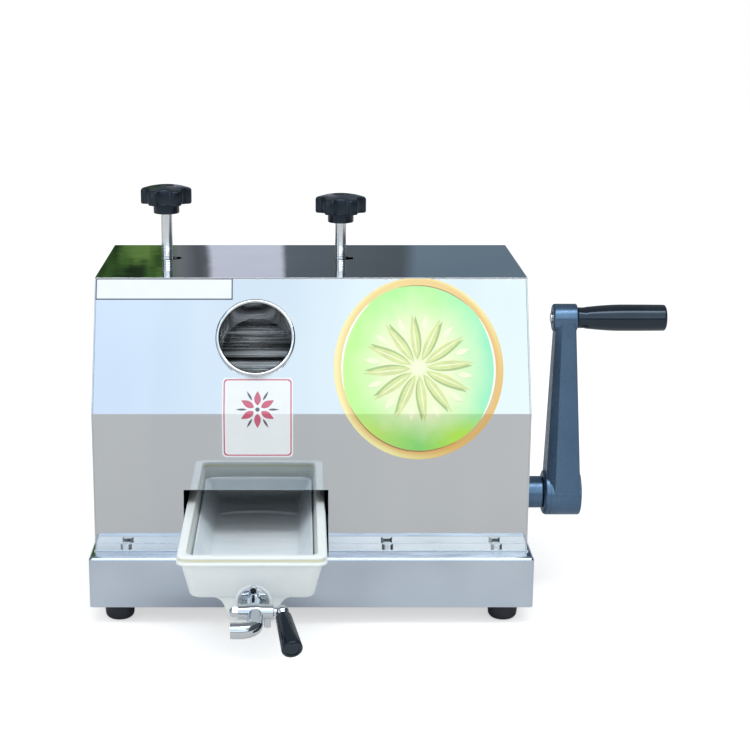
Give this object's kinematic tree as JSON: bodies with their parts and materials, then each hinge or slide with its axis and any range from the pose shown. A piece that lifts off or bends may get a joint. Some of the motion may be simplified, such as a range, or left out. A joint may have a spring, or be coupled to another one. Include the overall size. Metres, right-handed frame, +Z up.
{
  "type": "manual sugarcane juicer",
  "caption": "Hand-cranked sugarcane mill with fluted rollers in a polished steel cover, pressure knobs, feed tube, side crank and a sliding juice tray with a tap.",
  "frame": {"origin": "middle of the overall box at the height of the floor under the rubber feet", "axes": "+X to the crank side, +Y to the rear, away from the feed side, +Z up"},
  "size_m": [0.59, 0.5222, 0.4203],
  "materials": {
    "polished_stainless": "mirror-polished stainless sheet",
    "polished_tube": "polished stainless tube",
    "cast_iron": "machined grey cast iron",
    "machined_steel": "turned and milled steel",
    "zinc_fasteners": "bright zinc-plated steel",
    "bronze": "turned bronze",
    "black_rubber": "moulded black rubber",
    "black_plastic": "satin black moulded plastic",
    "black_casting": "satin black coated casting",
    "white_plastic": "off-white food-grade moulded plastic",
    "fine_mesh": "fine woven stainless mesh",
    "chrome": "bright chrome plate",
    "silicone": "soft silicone"
  },
  "bodies": {
    "machine": {"base_pan": "polished_stainless", "bed_plate": "machined_steel", "rubber_feet": "black_rubber", "foot_bolts": "zinc_fasteners", "front_cover": "polished_stainless", "top_cover": "polished_stainless", "left_side_cover": "polished_stainless", "right_side_cover": "polished_stainless", "rear_cover": "polished_stainless", "cover_bolts": "zinc_fasteners", "feed_tube": "polished_tube", "outlet_chute": "polished_stainless", "left_frame": "cast_iron", "middle_frame": "cast_iron", "outer_frame": "cast_iron", "frame_bolts": "zinc_fasteners", "tie_rods": "zinc_fasteners", "tie_nuts": "zinc_fasteners", "left_bridge": "cast_iron", "right_bridge": "cast_iron", "bridge_bolts": "zinc_fasteners", "turn_plate": "machined_steel", "juice_guide": "polished_stainless", "roller_bushes": "bronze", "crank_bushes": "bronze", "crank_boss": "black_casting"},
    "carriage": {"left_bearing_block": "cast_iron", "right_bearing_block": "cast_iron"},
    "left_screw": {"left_pressure_screw": "zinc_fasteners", "left_knob": "black_plastic"},
    "right_screw": {"right_pressure_screw": "zinc_fasteners", "right_knob": "black_plastic"},
    "top_roller": {"top_roller": "machined_steel", "top_roller_gear": "machined_steel"},
    "front_roller": {"front_roller": "machined_steel", "front_roller_gear": "machined_steel", "main_gear": "machined_steel"},
    "rear_roller": {"rear_roller": "machined_steel", "rear_roller_gear": "machined_steel"},
    "crank": {"crank_shaft": "machined_steel", "drive_pinion": "machined_steel", "crank_arm": "black_casting", "crank_bolt": "zinc_fasteners", "grip_spindle": "zinc_fasteners"},
    "grip": {"crank_grip": "black_plastic"},
    "tray": {"juice_tray": "white_plastic", "strainer": "fine_mesh", "tap_body": "chrome", "tap_washer": "silicone", "tap_lock_nut": "chrome"},
    "tap_valve": {"tap_plug": "chrome", "tap_plug_nut": "chrome", "tap_lever": "chrome", "tap_grip": "black_plastic"}
  },
  "joints": [
    {"name": "crank_turn", "type": "hinge", "parent": "machine", "child": "crank", "pos_m": [0.162, 0.0186, 0.1119], "axis": [1, 0, 0], "continuous": true},
    {"name": "grip_spin", "type": "hinge", "parent": "crank", "child": "grip", "pos_m": [0.25, 0.0186, 0.2999], "axis": [1, 0, 0], "continuous": true},
    {"name": "front_roller_turn", "type": "hinge", "parent": "machine", "child": "front_roller", "pos_m": [-0.1315, 0.1001, 0.202], "axis": [1, 0, 0], "continuous": true},
    {"name": "rear_roller_turn", "type": "hinge", "parent": "machine", "child": "rear_roller", "pos_m": [-0.1315, 0.1801, 0.202], "axis": [1, 0, 0], "continuous": true},
    {"name": "top_roller_turn", "type": "hinge", "parent": "carriage", "child": "top_roller", "pos_m": [-0.1315, 0.1401, 0.258], "axis": [1, 0, 0], "continuous": true},
    {"name": "carriage_lift", "type": "slide", "parent": "machine", "child": "carriage", "axis": [0, 0, 1], "range_m": [0, 0.002]},
    {"name": "left_screw_turn", "type": "hinge", "parent": "carriage", "child": "left_screw", "pos_m": [-0.2264, 0.1401, 0.32], "axis": [0, 0, 1], "range_deg": [0, 411.43]},
    {"name": "right_screw_turn", "type": "hinge", "parent": "carriage", "child": "right_screw", "pos_m": [-0.0373, 0.1401, 0.32], "axis": [0, 0, 1], "range_deg": [0, 411.43]},
    {"name": "tray_slide", "type": "slide", "parent": "machine", "child": "tray", "axis": [0, -1, 0], "range_m": [0, 0.2]},
    {"name": "tap_turn", "type": "hinge", "parent": "tray", "child": "tap_valve", "pos_m": [-0.1265, -0.2089, 0.069], "axis": [1, 0, 0], "range_deg": [-90, 0]}
  ],
  "couplings": [
    {"joint": "front_roller_turn", "follows": "crank_turn", "ratio": -0.19118},
    {"joint": "top_roller_turn", "follows": "crank_turn", "ratio": 0.19118},
    {"joint": "rear_roller_turn", "follows": "crank_turn", "ratio": -0.19118},
    {"joint": "left_screw_turn", "follows": "carriage_lift", "rad_per_m": 3590.4},
    {"joint": "right_screw_turn", "follows": "carriage_lift", "rad_per_m": 3590.4}
  ]
}
